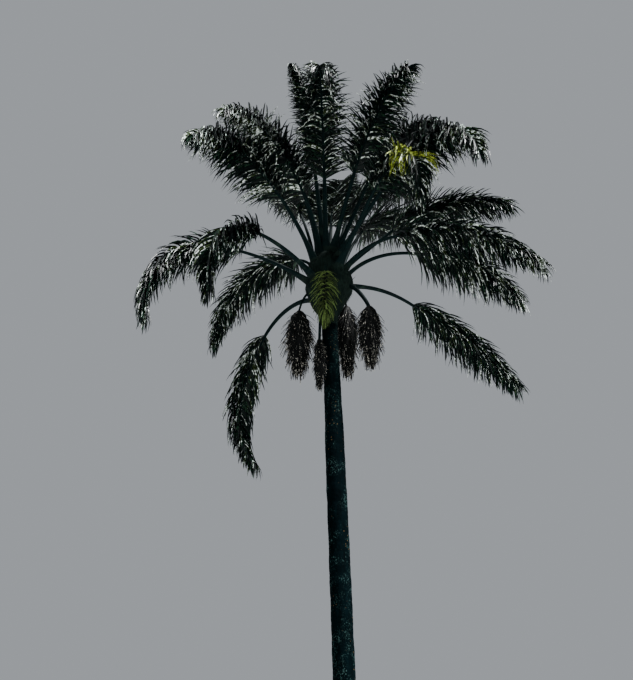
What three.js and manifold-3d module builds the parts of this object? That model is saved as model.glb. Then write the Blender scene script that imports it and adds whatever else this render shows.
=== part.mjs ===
// A tall feather palm rooted in level ground. Its bare trunk leans a little and ends in a heart of leaf
// bases, with arching fronds all round it and hanging flower and fruit clusters below them.
// Sizes are in millimetres and degrees. X runs to the right, Y away from the front and Z up,
// and the origin is the middle of the flat cut under the trunk, at ground level.
import * as THREE from 'three';
import { mergeVertices } from 'three/addons/utils/BufferGeometryUtils.js';
import Module from 'manifold-3d';

const wasm = await Module();
wasm.setup();

// The clearance left wherever one piece is seated on another.
const SEAT_GAP = 0.3;

// The trunk's axis moves sideways by this much at the given height, by a power of the height.
const LEAN = { offset: -250, height: 11400, power: 1.3 };

// The trunk's radius at its heights: a root flare, a long even stretch and a slimmer neck.
const TRUNK_SIDES = 20;
const TRUNK_OUTLINE = [
  { z: 0, radius: 235 },
  { z: 130, radius: 205 },
  { z: 400, radius: 178 },
  { z: 1000, radius: 166 },
  { z: 2600, radius: 158 },
  { z: 4800, radius: 153 },
  { z: 8200, radius: 149 },
  { z: 9100, radius: 137 },
  { z: 10600, radius: 130 },
];

// The heart: the leaf bases round the growing tip, which ends in the closed spear leaf.
const HEART_SIDES = 16;
const HEART_OUTLINE = [
  { z: 10600, radius: 136 },
  { z: 10800, radius: 170 },
  { z: 10950, radius: 240 },
  { z: 11150, radius: 320 },
  { z: 11350, radius: 360 },
  { z: 11650, radius: 330 },
  { z: 12000, radius: 235 },
  { z: 12300, radius: 130 },
  { z: 12600, radius: 50 },
  { z: 13500, radius: 26 },
  { z: 14100, radius: 0 },
];

// The fronds' feet climb the heart by a power of the frond's place in the list, so the higher ones are closer
// together, and each starts this far inside the heart's surface.
const FROND_FEET = { lowest: 11250, highest: 12100, power: 0.6, sunk: 50 };

// Each row is one frond, the lowest and oldest first: the way it faces, its slope at its foot, its slope
// where the leaflets begin, its slope at its end, its length, how far it turns aside on the way, the share
// of its length that is bare leaf stalk, and how long its leaflets are against those of the others.
const FRONDS = [
  [134, 42, -45, -124, 4220, 14, 0.35, 1],
  [229, 22, -12, -106, 3650, 1, 0.39, 1],
  [191, 36, 10, -103, 4020, 18, 0.33, 1.08],
  [25, 28, -21, -36, 3860, 0, 0.37, 1],
  [-62, 30, 30, -113, 3850, -4, 0.39, 1],
  [5, 60, -2, -48, 3600, 0, 0.43, 1.1],
  [-20, 63, 1, -49, 3860, 13, 0.3, 1.12],
  [230, 58, 30, -58, 4120, 20, 0.32, 1.15],
  [42, 75, 60, 0, 4300, 5, 0.38, 1],
  [142, 87, 28, -86, 3420, 10, 0.23, 1],
  [-3, 45, 42, -24, 3520, -15, 0.36, 1],
  [243, 83, 36, -40, 3850, -8, 0.33, 1],
  [-53, 32, 24, -78, 4650, -18, 0.32, 1.15],
  [77, 88, 78, 45, 4300, -5, 0.3, 1],
  [160, 84, 72, 35, 3900, -8, 0.38, 1],
  [267, 70, 58, -62, 4500, 2, 0.31, 1],
  [116, 75, 74, 30, 4400, 5, 0.38, 1],
  [-66, 53, 46, -26, 3850, -4, 0.38, 1],
  [208, 88, 72, -30, 3150, 12, 0.42, 0.8],
  [-38, 60, 60, -52, 3650, -16, 0.42, 1],
  [36, 78, 73, 11, 4400, 8, 0.3, 1],
  [256, 65, 58, -50, 4150, 9, 0.36, 0.5],
  [176, 86, 75, 25, 3600, -10, 0.37, 1],
  [98, 80, 73, 30, 4200, 5, 0.34, 1],
];

// The rib of a frond: a bare leaf stalk first, then the stretch that carries the leaflets.
const RIB = { footRadius: 45, leafRadius: 26, endRadius: 7, sides: 3, stalkSteps: 4, leafySteps: 10 };

// A frond that turns by more than this on its way bends round a wide gap, so its stalk and its blade are
// two pieces.
const SPLIT_TURN = 100;

// The leaflets stand in pairs, at slopes that take turns, as the plume has several planes of them.
const LEAFLETS = {
  pairs: 10,
  startLength: 520,
  fullLength: 660,
  endLength: 400,
  width: 170,
  thickness: 16,
  forward: 50,
  lifts: [22, -24, -2],
  sag: 0.32,
  jitter: 7,
};

// The stalked clusters, hanging below the fronds. Each leaves the heart at its foot, arches over its crest
// and hangs straight down from its reach, measured from the trunk's axis.
const CLUSTERS = [
  {
    name: 'flower_cluster_front', azimuth: 263, foot: 11350, crest: 11560, reach: 500, top: 11450, low: 10050,
    width: 600, stalk: 26, strands: 20, fresh: true,
  },
  {
    name: 'fruit_cluster_left', azimuth: 188, foot: 11130, crest: 11200, reach: 510, top: 10840, low: 9480,
    width: 560, stalk: 24, strands: 18,
  },
  {
    name: 'fruit_cluster_right', azimuth: -15, foot: 11420, crest: 11260, reach: 710, top: 10860, low: 9600,
    width: 510, stalk: 45, strands: 16,
  },
  {
    name: 'fruit_cluster_behind_right', azimuth: 44, foot: 11140, crest: 11300, reach: 440, top: 11240,
    low: 9620, width: 480, stalk: 26, strands: 14,
  },
  {
    name: 'fruit_cluster_beside_trunk', azimuth: 238, foot: 10920, crest: 10980, reach: 310, top: 10140,
    low: 9020, width: 250, stalk: 34, strands: 10,
  },
  {
    name: 'fruit_cluster_back', azimuth: 89, foot: 11120, crest: 11250, reach: 500, top: 10900, low: 9700,
    width: 320, stalk: 24, strands: 14,
  },
];
const CLUSTER = {
  coreShare: 0.6,
  freshCoreShare: 0.3,
  strandWidth: 70,
  strandThickness: 60,
  strandLength: 400,
  seed: 7,
};

const DOWN = new THREE.Vector3(0, 0, -1);
const LEAF_SEED = 3;

const radians = THREE.MathUtils.degToRad;
const mix = THREE.MathUtils.lerp;

// A repeatable stream of numbers from 0 to 1.
function stream(seed) {
  let state = seed >>> 0;
  return () => {
    state = (state + 0x6d2b79f5) >>> 0;
    let t = Math.imul(state ^ (state >>> 15), 1 | state);
    t = (t + Math.imul(t ^ (t >>> 7), 61 | t)) ^ t;
    return ((t ^ (t >>> 14)) >>> 0) / 4294967296;
  };
}

// The sideways place of the trunk's axis at a height.
function axisX(z) {
  return LEAN.offset * (Math.max(z, 0) / LEAN.height) ** LEAN.power;
}

// The radius of an outline at a height.
function radiusAt(outline, z) {
  const above = outline.findIndex((point) => point.z >= z);
  if (above <= 0) return outline[0].radius;
  const low = outline[above - 1];
  const high = outline[above];
  return mix(low.radius, high.radius, (z - low.z) / (high.z - low.z));
}

// A closed solid of a geometry's faces.
function solidOf(geometry) {
  const faces = geometry.index ? geometry.toNonIndexed() : geometry.clone();
  faces.deleteAttribute('normal');
  faces.deleteAttribute('uv');
  const merged = mergeVertices(faces, 1e-3);
  return new wasm.Manifold(new wasm.Mesh({
    numProp: 3,
    vertProperties: merged.attributes.position.array,
    triVerts: new Uint32Array(merged.index.array),
  }));
}

// The geometry of a solid's faces.
function geometryOf(solid) {
  const { vertProperties, triVerts } = solid.getMesh();
  const geometry = new THREE.BufferGeometry();
  geometry.setAttribute('position', new THREE.BufferAttribute(new Float32Array(vertProperties), 3));
  geometry.setIndex(new THREE.BufferAttribute(new Uint32Array(triVerts), 1));
  geometry.computeVertexNormals();
  return geometry;
}

// Moves every vertex of a geometry by a function that changes the vector it is given.
function reshape(geometry, move) {
  const place = geometry.attributes.position;
  const vertex = new THREE.Vector3();
  for (let i = 0; i < place.count; i += 1) {
    vertex.fromBufferAttribute(place, i);
    move(vertex);
    place.setXYZ(i, vertex.x, vertex.y, vertex.z);
  }
  return geometry;
}

// A turned solid that follows the trunk's leaning axis. Growth moves its surface outwards.
function turnedSolid(outline, sides, growth = 0) {
  const last = outline[outline.length - 1];
  const points = [new THREE.Vector2(0, outline[0].z - growth)];
  outline.forEach(({ z, radius }, i) => {
    const drop = i === 0 ? growth : 0;
    if (radius > 0) points.push(new THREE.Vector2(radius + growth, z - drop));
  });
  points.push(new THREE.Vector2(0, last.z + growth));
  const geometry = new THREE.LatheGeometry(points, sides);
  geometry.rotateX(Math.PI / 2);
  return solidOf(reshape(geometry, (vertex) => {
    vertex.x += axisX(vertex.z);
  }));
}

// A tapering tube of straight steps along a course, which gives place, side, up and radius for a share
// from 0 to 1. The share of each step's end comes from shareOf, and without it the steps are even.
function courseTube(course, sides, steps, shareOf = (step) => step / steps) {
  const geometry = new THREE.CylinderGeometry(1, 1, 1, sides, steps, false, Math.PI);
  return solidOf(reshape(geometry, (vertex) => {
    const { place, side, up, radius } = course(shareOf(Math.round((vertex.y + 0.5) * steps)));
    const across = vertex.x * radius;
    const over = vertex.z * radius;
    vertex.copy(place).addScaledVector(side, across).addScaledVector(up, over);
  }));
}

// A pointed blade from root to tip, widest at its middle, which lies lift above the straight line.
function bladeSolid(root, tip, broad, thick, width, thickness, lift) {
  const middle = root.clone().lerp(tip, 0.42);
  middle.z += lift;
  return solidOf(reshape(new THREE.OctahedronGeometry(1), (vertex) => {
    const { x, y, z } = vertex;
    if (x < -0.5) vertex.copy(root);
    else if (x > 0.5) vertex.copy(tip);
    else vertex.copy(middle).addScaledVector(broad, y * width / 2).addScaledVector(thick, z * thickness / 2);
  }));
}

// The share of the rib's length at the end of one of its steps, and the other way round, for a rib with the
// given bare share.
function ribShare(step, bareShare) {
  if (step <= RIB.stalkSteps) return bareShare * step / RIB.stalkSteps;
  return mix(bareShare, 1, (step - RIB.stalkSteps) / RIB.leafySteps);
}

function ribStep(share, bareShare) {
  if (share <= bareShare) return share / bareShare * RIB.stalkSteps;
  return RIB.stalkSteps + (share - bareShare) / (1 - bareShare) * RIB.leafySteps;
}

// The course of a frond's rib, walked from its foot in the heart. Its places lie on the rib's straight steps.
function ribCourse(index) {
  const [azimuth, rise, begin, end, length, swing, bareShare] = FRONDS[index];
  const climb = (index / (FRONDS.length - 1)) ** FROND_FEET.power;
  const footZ = mix(FROND_FEET.lowest, FROND_FEET.highest, climb);
  const footReach = radiusAt(HEART_OUTLINE, footZ) - FROND_FEET.sunk;
  const ribSteps = RIB.stalkSteps + RIB.leafySteps;
  const paces = 6;
  const facing = (share) => radians(azimuth + swing * share * share);
  const bare = (share) => Math.min(share / bareShare, 1);
  const leafy = (share) => Math.max((share - bareShare) / (1 - bareShare), 0);
  const slope = (share) => radians(rise + (begin - rise) * bare(share) + (end - begin) * leafy(share));
  const heading = (share) => {
    const level = Math.cos(slope(share));
    const turn = facing(share);
    return new THREE.Vector3(level * Math.cos(turn), level * Math.sin(turn), Math.sin(slope(share)));
  };
  const foot = new THREE.Vector3(axisX(footZ), 0, footZ);
  foot.x += footReach * Math.cos(radians(azimuth));
  foot.y += footReach * Math.sin(radians(azimuth));
  const places = [foot];
  const walker = foot.clone();
  for (let step = 0; step < ribSteps; step += 1) {
    const from = ribShare(step, bareShare);
    const pace = (ribShare(step + 1, bareShare) - from) / paces;
    for (let i = 0; i < paces; i += 1) {
      walker.addScaledVector(heading(from + (i + 0.5) * pace), pace * length);
    }
    places.push(walker.clone());
  }
  return (share) => {
    const exact = ribStep(share, bareShare);
    const i = Math.min(Math.floor(exact), ribSteps - 1);
    const tangent = heading(share);
    const side = new THREE.Vector3(Math.sin(facing(share)), -Math.cos(facing(share)), 0);
    const stalkRadius = mix(RIB.footRadius, RIB.leafRadius, bare(share));
    return {
      place: places[i].clone().lerp(places[i + 1], exact - i),
      tangent,
      side,
      up: side.clone().cross(tangent),
      radius: mix(stalkRadius, RIB.endRadius, leafy(share)),
    };
  };
}

// One leaflet at a share of the rib, to the left or right, at its own lift.
function leafletSolid(course, share, hand, lift, length, forward) {
  const { place, tangent, side, up } = course(share);
  const out = side.clone().multiplyScalar(hand * Math.cos(radians(lift)));
  out.addScaledVector(up, Math.sin(radians(lift)));
  const heading = tangent.clone().multiplyScalar(Math.cos(radians(forward)));
  heading.addScaledVector(out, Math.sin(radians(forward)));
  const tip = place.clone().addScaledVector(heading, length).addScaledVector(DOWN, length * LEAFLETS.sag);
  const line = tip.clone().sub(place).normalize();
  const broad = tangent.clone().addScaledVector(line, -tangent.dot(line)).normalize();
  const thick = line.clone().cross(broad);
  const arch = length * LEAFLETS.sag * 0.22;
  return bladeSolid(place, tip, broad, thick, LEAFLETS.width, LEAFLETS.thickness, arch);
}

// The leaflets' length along the leafy stretch: it grows to the middle and falls to the end.
function leafletLength(along) {
  const swell = Math.sin(Math.PI * Math.min(along * 1.15, 1) ** 0.8);
  const ends = mix(LEAFLETS.startLength, LEAFLETS.endLength, along);
  return mix(ends, LEAFLETS.fullLength, swell);
}

// All the leaflets of one frond, with the one that carries its end on.
function frondLeaflets(course, [, , , , , , bareShare, plume], chance) {
  const leaflets = [];
  for (let pair = 0; pair < LEAFLETS.pairs; pair += 1) {
    for (const hand of [-1, 1]) {
      const along = (pair + (hand > 0 ? 0.3 : 0.75)) / LEAFLETS.pairs;
      const share = mix(bareShare, 0.985, along);
      const turn = LEAFLETS.lifts[(pair + (hand > 0 ? 1 : 0)) % LEAFLETS.lifts.length];
      const lift = turn + (chance() - 0.5) * 2 * LEAFLETS.jitter;
      const closing = mix(LEAFLETS.forward, LEAFLETS.forward * 0.6, along ** 3);
      const forward = closing + (chance() - 0.5) * LEAFLETS.jitter;
      leaflets.push(leafletSolid(course, share, hand, lift, leafletLength(along) * plume, forward));
    }
  }
  leaflets.push(leafletSolid(course, 0.985, 1, 10, LEAFLETS.endLength * 0.8 * plume, 6));
  return leaflets;
}

// The course of a cluster's stalk, from inside the heart over its crest to the top of the cluster.
function stalkCourse(cluster) {
  const heading = radians(cluster.azimuth);
  const footReach = radiusAt(HEART_OUTLINE, cluster.foot) - FROND_FEET.sunk;
  const spot = (reach, z) => new THREE.Vector3(
    axisX(cluster.foot) + reach * Math.cos(heading),
    reach * Math.sin(heading),
    z,
  );
  const curve = new THREE.CatmullRomCurve3([
    spot(footReach, cluster.foot),
    spot(mix(footReach, cluster.reach, 0.5), cluster.crest),
    spot(cluster.reach, cluster.top),
    spot(cluster.reach, mix(cluster.top, cluster.low, 0.3)),
  ]);
  const side = new THREE.Vector3(Math.sin(heading), -Math.cos(heading), 0);
  return (share) => ({
    place: curve.getPoint(share),
    side,
    up: side.clone().cross(curve.getTangent(share)),
    radius: cluster.stalk,
  });
}

// A spindle core for a cluster, with its points at the cluster's top and near its low end.
function coreSolid(cluster, hang) {
  const tall = cluster.top - cluster.low;
  const broad = cluster.width * (cluster.fresh ? CLUSTER.freshCoreShare : CLUSTER.coreShare);
  const profile = [
    new THREE.Vector2(0, cluster.low + tall * 0.12),
    new THREE.Vector2(broad * 0.35, cluster.low + tall * 0.3),
    new THREE.Vector2(broad * 0.5, cluster.low + tall * 0.6),
    new THREE.Vector2(0, cluster.top),
  ];
  const geometry = new THREE.LatheGeometry(profile, 6);
  geometry.rotateX(Math.PI / 2);
  geometry.translate(hang.x, hang.y, 0);
  return solidOf(geometry);
}

// The strands of a cluster: they leave its middle all round, arch outwards and hang down.
function clusterStrands(cluster, hang, chance) {
  const strands = [];
  const tall = cluster.top - cluster.low;
  const golden = 137.5;
  for (let i = 0; i < cluster.strands; i += 1) {
    const along = (i + 0.5) / cluster.strands;
    const turn = radians(i * golden + chance() * 20);
    const rootZ = mix(cluster.top - tall * 0.05, cluster.low + tall * 0.42, along);
    const swell = Math.sin(Math.PI * mix(0.3, 0.8, along));
    const spread = cluster.width / 2 * mix(0.75, 1, swell) * mix(0.85, 1, chance());
    const length = Math.min(CLUSTER.strandLength, tall * 0.42);
    const root = new THREE.Vector3(hang.x, hang.y, rootZ);
    const out = new THREE.Vector3(Math.cos(turn), Math.sin(turn), 0);
    const tip = root.clone().addScaledVector(out, spread).addScaledVector(DOWN, length);
    const line = tip.clone().sub(root).normalize();
    const broad = new THREE.Vector3(-Math.sin(turn), Math.cos(turn), 0);
    const thick = line.clone().cross(broad);
    const { strandWidth, strandThickness } = CLUSTER;
    strands.push(bladeSolid(root, tip, broad, thick, strandWidth, strandThickness, length * 0.25));
  }
  return strands;
}

// Pieces that are already in place, so that later leaflets and strands can keep clear of them.
const placed = [];

function boxOf(solid) {
  const { min, max } = solid.boundingBox();
  return new THREE.Box3(new THREE.Vector3(...min), new THREE.Vector3(...max)).expandByScalar(SEAT_GAP);
}

function keep(owner, solid) {
  placed.push({ owner, solid, box: boxOf(solid) });
}

function isClear(owner, solid) {
  const box = boxOf(solid);
  return placed.every((other) => other.owner === owner || !other.box.intersectsBox(box)
    || solid.minGap(other.solid, 4 * SEAT_GAP) > SEAT_GAP);
}

// Joins a stem with those of its leaflets or strands that touch nothing else, and keeps each one's place.
function grown(owner, stem, offshoots) {
  const parts = [stem];
  for (const offshoot of offshoots) {
    if (isClear(owner, offshoot)) {
      keep(owner, offshoot);
      parts.push(offshoot);
    }
  }
  return wasm.Manifold.union(parts);
}

const materials = {
  bark: new THREE.MeshStandardMaterial({ name: 'bark', color: 0x3a3d35, roughness: 0.9, metalness: 0 }),
  sheath: new THREE.MeshStandardMaterial({ name: 'sheath', color: 0x4b4a2c, roughness: 0.85, metalness: 0 }),
  frond: new THREE.MeshStandardMaterial({ name: 'frond', color: 0x2f4a2a, roughness: 0.55, metalness: 0 }),
  flower: new THREE.MeshStandardMaterial({ name: 'flower', color: 0x7d8038, roughness: 0.8, metalness: 0 }),
  fruit: new THREE.MeshStandardMaterial({ name: 'fruit', color: 0x35331f, roughness: 0.85, metalness: 0 }),
};

const palm = new THREE.Group();

function addNode(name, solid, material) {
  const mesh = new THREE.Mesh(geometryOf(solid), material);
  mesh.name = name;
  palm.add(mesh);
}

// The trunk, and the heart standing on it.
const trunk = turnedSolid(TRUNK_OUTLINE, TRUNK_SIDES);
const heartOutline = HEART_OUTLINE.map((point, i) => (i === 0 ? { ...point, z: point.z + SEAT_GAP } : point));
const heart = turnedSolid(heartOutline, HEART_SIDES);
const heartWithGap = turnedSolid(heartOutline, HEART_SIDES, SEAT_GAP);
keep('trunk', trunk);
keep('leaf_base_heart', heart);
addNode('trunk', trunk, materials.bark);
addNode('leaf_base_heart', heart, materials.sheath);

// The rib of one frond, and the name of the piece that carries its leaflets. A frond that bends round a wide
// gap gets its stalk as a piece of its own, with the seat gap where its blade goes on.
function frondRib(frond, [, rise, , end, length, , bareShare], course) {
  const shareOf = (step) => ribShare(step, bareShare);
  if (rise - end <= SPLIT_TURN) {
    const steps = RIB.stalkSteps + RIB.leafySteps;
    const whole = courseTube(course, RIB.sides, steps, shareOf).subtract(heartWithGap);
    keep(frond, whole);
    return { owner: frond, solid: whole };
  }
  const halfGap = SEAT_GAP / 2 / length;
  const stalkShare = (step) => (step === RIB.stalkSteps ? bareShare - halfGap : shareOf(step));
  const bladeShare = (step) => (step === 0 ? bareShare + halfGap : shareOf(RIB.stalkSteps + step));
  const stalk = courseTube(course, RIB.sides, RIB.stalkSteps, stalkShare).subtract(heartWithGap);
  const blade = courseTube(course, RIB.sides, RIB.leafySteps, bladeShare);
  keep(`${frond}_stalk`, stalk);
  keep(`${frond}_blade`, blade);
  addNode(`${frond}_stalk`, stalk, materials.frond);
  return { owner: `${frond}_blade`, solid: blade };
}

// Every rib and stalk comes first, cut to its seat on the heart, and the leaflets fill what is left.
const courses = FRONDS.map((row, i) => ribCourse(i));
const ribs = FRONDS.map((row, i) => frondRib(`frond_${String(i + 1).padStart(2, '0')}`, row, courses[i]));

const stalks = CLUSTERS.map((cluster) => courseTube(stalkCourse(cluster), 4, 8).subtract(heartWithGap));
const hangs = CLUSTERS.map((cluster) => stalkCourse(cluster)(1).place);
CLUSTERS.forEach((cluster, i) => {
  const core = coreSolid(cluster, hangs[i]);
  stalks[i] = stalks[i].add(core);
  keep(cluster.name, stalks[i]);
});

const strandChance = stream(CLUSTER.seed);
CLUSTERS.forEach((cluster, i) => {
  const strands = clusterStrands(cluster, hangs[i], strandChance);
  const material = cluster.fresh ? materials.flower : materials.fruit;
  addNode(cluster.name, grown(cluster.name, stalks[i], strands), material);
});

const leafChance = stream(LEAF_SEED);
ribs.forEach(({ owner, solid }, i) => {
  const leaflets = frondLeaflets(courses[i], FRONDS[i], leafChance);
  addNode(owner, grown(owner, solid, leaflets), materials.frond);
});

export default palm;
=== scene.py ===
"""A tall feather palm: bark, leaf bases, ribs, leaflets and hanging clusters round its solid model."""
import math
from collections import namedtuple

import bpy
import numpy as np
from bpy.props import FloatProperty, FloatVectorProperty, IntProperty, PointerProperty
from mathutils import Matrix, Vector, noise


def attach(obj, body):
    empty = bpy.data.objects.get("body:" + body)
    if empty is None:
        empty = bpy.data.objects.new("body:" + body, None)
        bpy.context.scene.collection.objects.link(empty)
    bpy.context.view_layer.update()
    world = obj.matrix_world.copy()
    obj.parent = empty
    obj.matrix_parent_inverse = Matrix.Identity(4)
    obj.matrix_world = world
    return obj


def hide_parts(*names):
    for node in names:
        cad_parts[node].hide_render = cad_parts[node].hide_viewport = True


bl_info = {
    "name": "Feather Palm",
    "version": (1, 0, 0),
    "blender": (4, 5, 0),
    "location": "View3D > Sidebar > Palm",
    "description": "Builds a tall feather palm with plumed fronds round its solid model",
    "category": "Add Mesh",
}

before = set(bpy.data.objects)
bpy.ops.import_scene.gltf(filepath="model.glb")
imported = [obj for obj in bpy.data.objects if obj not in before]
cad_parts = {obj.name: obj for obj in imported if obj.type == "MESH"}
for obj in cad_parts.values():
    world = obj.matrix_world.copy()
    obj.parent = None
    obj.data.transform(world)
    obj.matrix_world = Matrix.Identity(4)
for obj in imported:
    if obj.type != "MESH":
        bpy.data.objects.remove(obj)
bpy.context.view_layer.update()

# The rule of the palm, in metres and degrees, as in the solid model. The trunk's axis leans by a power of the
# height, and is LEAN_OFFSET aside at LEAN_HEIGHT.
LEAN_OFFSET, LEAN_HEIGHT, LEAN_POWER = -0.25, 11.4, 1.3

# Heights up the trunk and the heart, each with its radius.
TRUNK_OUTLINE = [
    (0.0, 0.235), (0.13, 0.205), (0.4, 0.178), (1.0, 0.166), (2.6, 0.158),
    (4.8, 0.153), (8.2, 0.149), (9.1, 0.137), (10.6, 0.130),
]
HEART_OUTLINE = [
    (10.6, 0.136), (10.8, 0.170), (10.95, 0.240), (11.15, 0.320), (11.35, 0.360), (11.65, 0.330),
    (12.0, 0.235), (12.3, 0.130), (12.6, 0.050), (13.5, 0.026), (14.1, 0.002),
]

# The heart is the spear leaf above the first height, and fibres grow below the second.
SPEAR_START, FIBRE_LIMIT = 12.55, 12.25

# The fronds' feet climb the heart by a power of the frond's place in the list, and start this far inside it.
LOWEST_FOOT, HIGHEST_FOOT, FOOT_POWER, FOOT_SUNK = 11.25, 12.10, 0.6, 0.05

# One frond: the way it faces, its slope at its foot, where its leaflets begin and at its end, its length, how
# far it turns aside on the way, its bare share, and how long its leaflets are against those of the others.
Frond = namedtuple("Frond", "facing rise begin end length swing bare plume")
FRONDS = [Frond(*row) for row in (
    (134, 42, -45, -124, 4.22, 14, 0.35, 1),
    (229, 22, -12, -106, 3.65, 1, 0.39, 1),
    (191, 36, 10, -103, 4.02, 18, 0.33, 1.08),
    (25, 28, -21, -36, 3.86, 0, 0.37, 1),
    (-62, 30, 30, -113, 3.85, -4, 0.39, 1),
    (5, 60, -2, -48, 3.6, 0, 0.43, 1.1),
    (-20, 63, 1, -49, 3.86, 13, 0.3, 1.12),
    (230, 58, 30, -58, 4.12, 20, 0.32, 1.15),
    (42, 75, 60, 0, 4.3, 5, 0.38, 1),
    (142, 87, 28, -86, 3.42, 10, 0.23, 1),
    (-3, 45, 42, -24, 3.52, -15, 0.36, 1),
    (243, 83, 36, -40, 3.85, -8, 0.33, 1),
    (-53, 32, 24, -78, 4.65, -18, 0.32, 1.15),
    (77, 88, 78, 45, 4.3, -5, 0.3, 1),
    (160, 84, 72, 35, 3.9, -8, 0.38, 1),
    (267, 70, 58, -62, 4.5, 2, 0.31, 1),
    (116, 75, 74, 30, 4.4, 5, 0.38, 1),
    (-66, 53, 46, -26, 3.85, -4, 0.38, 1),
    (208, 88, 72, -30, 3.15, 12, 0.42, 0.8),
    (-38, 60, 60, -52, 3.65, -16, 0.42, 1),
    (36, 78, 73, 11, 4.4, 8, 0.3, 1),
    (256, 65, 58, -50, 4.15, 9, 0.36, 0.5),
    (176, 86, 75, 25, 3.6, -10, 0.37, 1),
    (98, 80, 73, 30, 4.2, 5, 0.34, 1),
)]

# A rib's radius at its foot, where its leaflets begin and at its end.
FOOT_RADIUS, LEAF_RADIUS, END_RADIUS = 0.052, 0.032, 0.008

# One cluster: its node, the way it faces, its stalk's foot and crest, its reach from the trunk's axis, its
# top, its low end, its width and its stalk's radius.
Cluster = namedtuple("Cluster", "node facing foot crest reach top low width stalk")
CLUSTERS = [Cluster(*row) for row in (
    ("flower_cluster_front", 263, 11.35, 11.56, 0.50, 11.45, 10.05, 0.60, 0.026),
    ("fruit_cluster_left", 188, 11.13, 11.20, 0.51, 10.84, 9.48, 0.58, 0.024),
    ("fruit_cluster_right", -15, 11.42, 11.26, 0.71, 10.86, 9.60, 0.53, 0.045),
    ("fruit_cluster_behind_right", 44, 11.14, 11.30, 0.44, 11.24, 9.62, 0.50, 0.026),
    ("fruit_cluster_beside_trunk", 238, 10.92, 10.98, 0.31, 10.14, 9.02, 0.26, 0.034),
    ("fruit_cluster_back", 89, 11.12, 11.25, 0.50, 10.90, 9.70, 0.32, 0.024),
)]

# Stretches where a frond has more light leaflets, whose light spots are painted sun glints on their upper
# sides, and where its leaflets are yellow-green, a painted glow of sunlight shining through them: the frond's
# place in the list, where the stretch begins and ends along its leaflets, and the shares of its leaflets that
# are made light and yellow-green.
PAINTED_LIGHT_STRETCHES = [
    (4, 0.36, 0.60, 0.00, 0.78),
    (5, 0.45, 1.00, 0.08, 0.00),
    (6, 0.70, 1.00, 0.14, 0.00),
    (7, 0.55, 0.95, 0.16, 0.00),
    (11, 0.40, 1.00, 0.26, 0.00),
    (12, 0.60, 0.90, 0.10, 0.00),
]

# The shapes that are strewn, as places along a blade with its half width there, for a blade one metre long
# and one wide. What falls at its end reaches less far, by DRAWN_IN of its length.
LEAFLET_STATIONS = [(0, 0.14), (0.15, 0.44), (0.42, 0.50), (0.66, 0.46), (0.86, 0.30), (1, 0)]
FIBRE_STATIONS = [(0, 0.5), (0.5, 0.35), (1, 0)]
DRAWN_IN = 0.12


# Sizes and colours that a user would change.

def colour_setting(name, description, default):
    """A colour."""
    return FloatVectorProperty(name=name, description=description, default=default, subtype="COLOR")


def length_setting(name, description, default):
    """A length in metres."""
    return FloatProperty(name=name, description=description, default=default, unit="LENGTH")


def angle_setting(name, description, degrees):
    """An angle, given in degrees."""
    return FloatProperty(name=name, description=description, default=math.radians(degrees), subtype="ANGLE")


def share_setting(name, description, default):
    """A share from nothing to all."""
    return FloatProperty(name=name, description=description, default=default, min=0, max=1, subtype="FACTOR")


def count_setting(name, description, default, least):
    """A whole number."""
    return IntProperty(name=name, description=description, default=default, min=least)


class TrunkSettings(bpy.types.PropertyGroup):
    """The trunk's relief and its colours."""

    around: count_setting("Faces around", "Faces round the trunk", 120, 24)
    along: count_setting("Rings of points", "Rings of points up the trunk", 600, 60)
    ring_spacing: length_setting("Ring spacing", "Height between two leaf scars", 0.16)
    ring_depth: length_setting("Ring depth", "How deep a leaf scar is", 0.0025)
    lump_depth: length_setting("Lump depth", "Depth of the broad lumps", 0.007)
    # The bark's colours are near black, darker than the bark's own grey-green: painted shade of a trunk lit
    # from behind.
    bark_dark: colour_setting("Dark bark", "Colour of the bark's hollows", (0.0001, 0.0009, 0.0012))
    bark_light: colour_setting("Light bark", "Colour of the bark's ridges", (0.0005, 0.0032, 0.0042))
    lichen: colour_setting("Lichen", "Colour of the lichen specks", (0.038, 0.085, 0.080))
    tan: colour_setting("Tan dots", "Colour of the bare tan dots", (0.120, 0.075, 0.030))


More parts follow.
